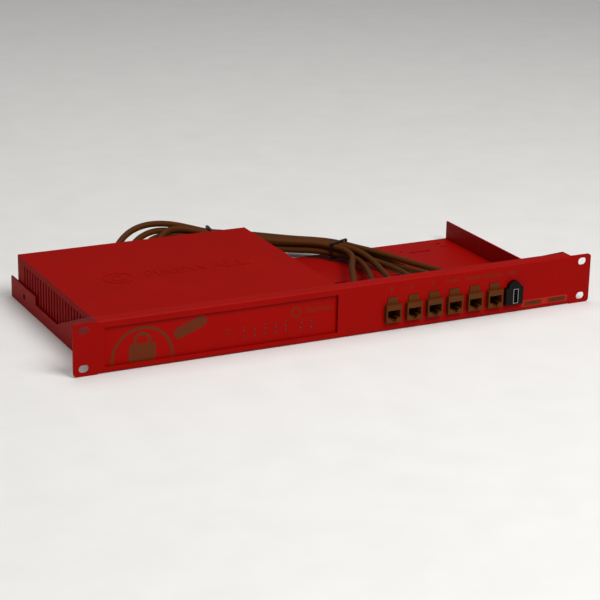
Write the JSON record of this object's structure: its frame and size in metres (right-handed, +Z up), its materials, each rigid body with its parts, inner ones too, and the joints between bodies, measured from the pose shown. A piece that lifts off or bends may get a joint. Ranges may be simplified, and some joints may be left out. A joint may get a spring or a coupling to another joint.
{
  "type": "rack mounted firewall appliance",
  "caption": "Fanless firewall held in a one-unit rack tray, its rear sockets brought by patch leads to snap-in couplers in the tray's slotted front panel.",
  "frame": {"origin": "centre of the four rack slots, on the rear face of the ears, where the rack's posts bear", "axes": "+X to the right seen from the front, +Y to the rear, +Z up"},
  "size_m": [0.4826, 0.2787, 0.044],
  "materials": {
    "red_metal": "fine textured powder coat, satin",
    "red_plastic": "satin moulded plastic",
    "coupler": "satin moulded plastic",
    "lead": "soft matt jacket",
    "boot": "soft matt",
    "clear_plug": "clear moulded plastic, stood in by glass",
    "gold": "gold plated",
    "black_plastic": "matt",
    "port_black": "matt",
    "steel": "bright tinned",
    "zinc": "zinc plated",
    "black_screw": "black oxide",
    "label": "printed strip",
    "lens": "dark clear plastic",
    "rubber": "matt",
    "board": "green solder mask",
    "brass": "bright",
    "chip": "matt moulded",
    "aluminium": "extruded, satin"
  },
  "bodies": {
    "tray_and_firewall": {"rack_tray": "red_metal", "left_stop_bracket": "red_metal", "right_stop_bracket": "red_metal", "bracket_screws": "zinc", "label_plates": "label", "coupler_housing_1": "coupler", "coupler_housing_2": "coupler", "coupler_housing_3": "coupler", "coupler_housing_4": "coupler", "coupler_housing_5": "coupler", "coupler_housing_6": "coupler", "coupler_contacts": "gold", "usb_coupler_housing": "black_plastic", "usb_coupler_shells": "steel", "usb_coupler_tongues": "black_plastic", "patch_lead_1": "lead", "patch_lead_2": "lead", "patch_lead_3": "lead", "patch_lead_4": "lead", "patch_lead_5": "lead", "patch_lead_6": "lead", "front_plugs": "clear_plug", "rear_plugs": "clear_plug", "front_boots": "boot", "rear_boots": "boot", "plug_blades": "gold", "front_cable_tie": "black_plastic", "rear_cable_tie": "black_plastic", "top_cover": "red_metal", "base_chassis": "red_metal", "cover_screws": "black_screw", "front_bezel": "red_plastic", "led_lenses": "lens", "rubber_feet": "rubber", "main_board": "board", "board_standoffs": "brass", "board_screws": "zinc", "processor": "chip", "heatsink": "aluminium", "memory_chips": "chip", "lan_magnetics": "chip", "coin_cell": "steel", "lan_port_block": "port_black", "console_port": "port_black", "usb_ports": "steel", "dc_inlet": "black_plastic", "reset_switch": "chip"},
    "front_latch_1": {"front_latch_1": "clear_plug"},
    "front_latch_2": {"front_latch_2": "clear_plug"},
    "front_latch_3": {"front_latch_3": "clear_plug"},
    "front_latch_4": {"front_latch_4": "clear_plug"},
    "front_latch_5": {"front_latch_5": "clear_plug"},
    "front_latch_6": {"front_latch_6": "clear_plug"},
    "rear_latch_1": {"rear_latch_1": "clear_plug"},
    "rear_latch_2": {"rear_latch_2": "clear_plug"},
    "rear_latch_3": {"rear_latch_3": "clear_plug"},
    "rear_latch_4": {"rear_latch_4": "clear_plug"},
    "rear_latch_5": {"rear_latch_5": "clear_plug"},
    "rear_latch_6": {"rear_latch_6": "clear_plug"},
    "reset_button": {"reset_button": "black_plastic"}
  },
  "joints": [
    {"name": "front_latch_press_1", "type": "hinge", "parent": "tray_and_firewall", "child": "front_latch_1", "pos_m": [0.0425, 0.0186, -0.0099], "axis": [1, 0, 0], "range_deg": [0, 8], "stiffness_Nm_per_rad": 0.004},
    {"name": "front_latch_press_2", "type": "hinge", "parent": "tray_and_firewall", "child": "front_latch_2", "pos_m": [0.0625, 0.0186, -0.0099], "axis": [1, 0, 0], "range_deg": [0, 8], "stiffness_Nm_per_rad": 0.004},
    {"name": "front_latch_press_3", "type": "hinge", "parent": "tray_and_firewall", "child": "front_latch_3", "pos_m": [0.0825, 0.0186, -0.0099], "axis": [1, 0, 0], "range_deg": [0, 8], "stiffness_Nm_per_rad": 0.004},
    {"name": "front_latch_press_4", "type": "hinge", "parent": "tray_and_firewall", "child": "front_latch_4", "pos_m": [0.1025, 0.0186, -0.0099], "axis": [1, 0, 0], "range_deg": [0, 8], "stiffness_Nm_per_rad": 0.004},
    {"name": "front_latch_press_5", "type": "hinge", "parent": "tray_and_firewall", "child": "front_latch_5", "pos_m": [0.1225, 0.0186, -0.0099], "axis": [1, 0, 0], "range_deg": [0, 8], "stiffness_Nm_per_rad": 0.004},
    {"name": "front_latch_press_6", "type": "hinge", "parent": "tray_and_firewall", "child": "front_latch_6", "pos_m": [0.1425, 0.0186, -0.0099], "axis": [1, 0, 0], "range_deg": [0, 8], "stiffness_Nm_per_rad": 0.004},
    {"name": "rear_latch_press_1", "type": "hinge", "parent": "tray_and_firewall", "child": "rear_latch_1", "pos_m": [-0.045, 0.1856, -0.0023], "axis": [-1, 0, 0], "range_deg": [0, 8], "stiffness_Nm_per_rad": 0.004},
    {"name": "rear_latch_press_2", "type": "hinge", "parent": "tray_and_firewall", "child": "rear_latch_2", "pos_m": [-0.059, 0.1856, -0.0023], "axis": [-1, 0, 0], "range_deg": [0, 8], "stiffness_Nm_per_rad": 0.004},
    {"name": "rear_latch_press_3", "type": "hinge", "parent": "tray_and_firewall", "child": "rear_latch_3", "pos_m": [-0.073, 0.1856, -0.0023], "axis": [-1, 0, 0], "range_deg": [0, 8], "stiffness_Nm_per_rad": 0.004},
    {"name": "rear_latch_press_4", "type": "hinge", "parent": "tray_and_firewall", "child": "rear_latch_4", "pos_m": [-0.087, 0.1856, -0.0023], "axis": [-1, 0, 0], "range_deg": [0, 8], "stiffness_Nm_per_rad": 0.004},
    {"name": "rear_latch_press_5", "type": "hinge", "parent": "tray_and_firewall", "child": "rear_latch_5", "pos_m": [-0.101, 0.1856, -0.0023], "axis": [-1, 0, 0], "range_deg": [0, 8], "stiffness_Nm_per_rad": 0.004},
    {"name": "rear_latch_press_6", "type": "hinge", "parent": "tray_and_firewall", "child": "rear_latch_6", "pos_m": [-0.117, 0.1856, -0.0023], "axis": [-1, 0, 0], "range_deg": [0, 8], "stiffness_Nm_per_rad": 0.004},
    {"name": "reset_press", "type": "slide", "parent": "tray_and_firewall", "child": "reset_button", "axis": [0, -1, 0], "range_m": [0, 0.0008], "stiffness_N_per_m": 600, "springref_m": -0.0004}
  ]
}
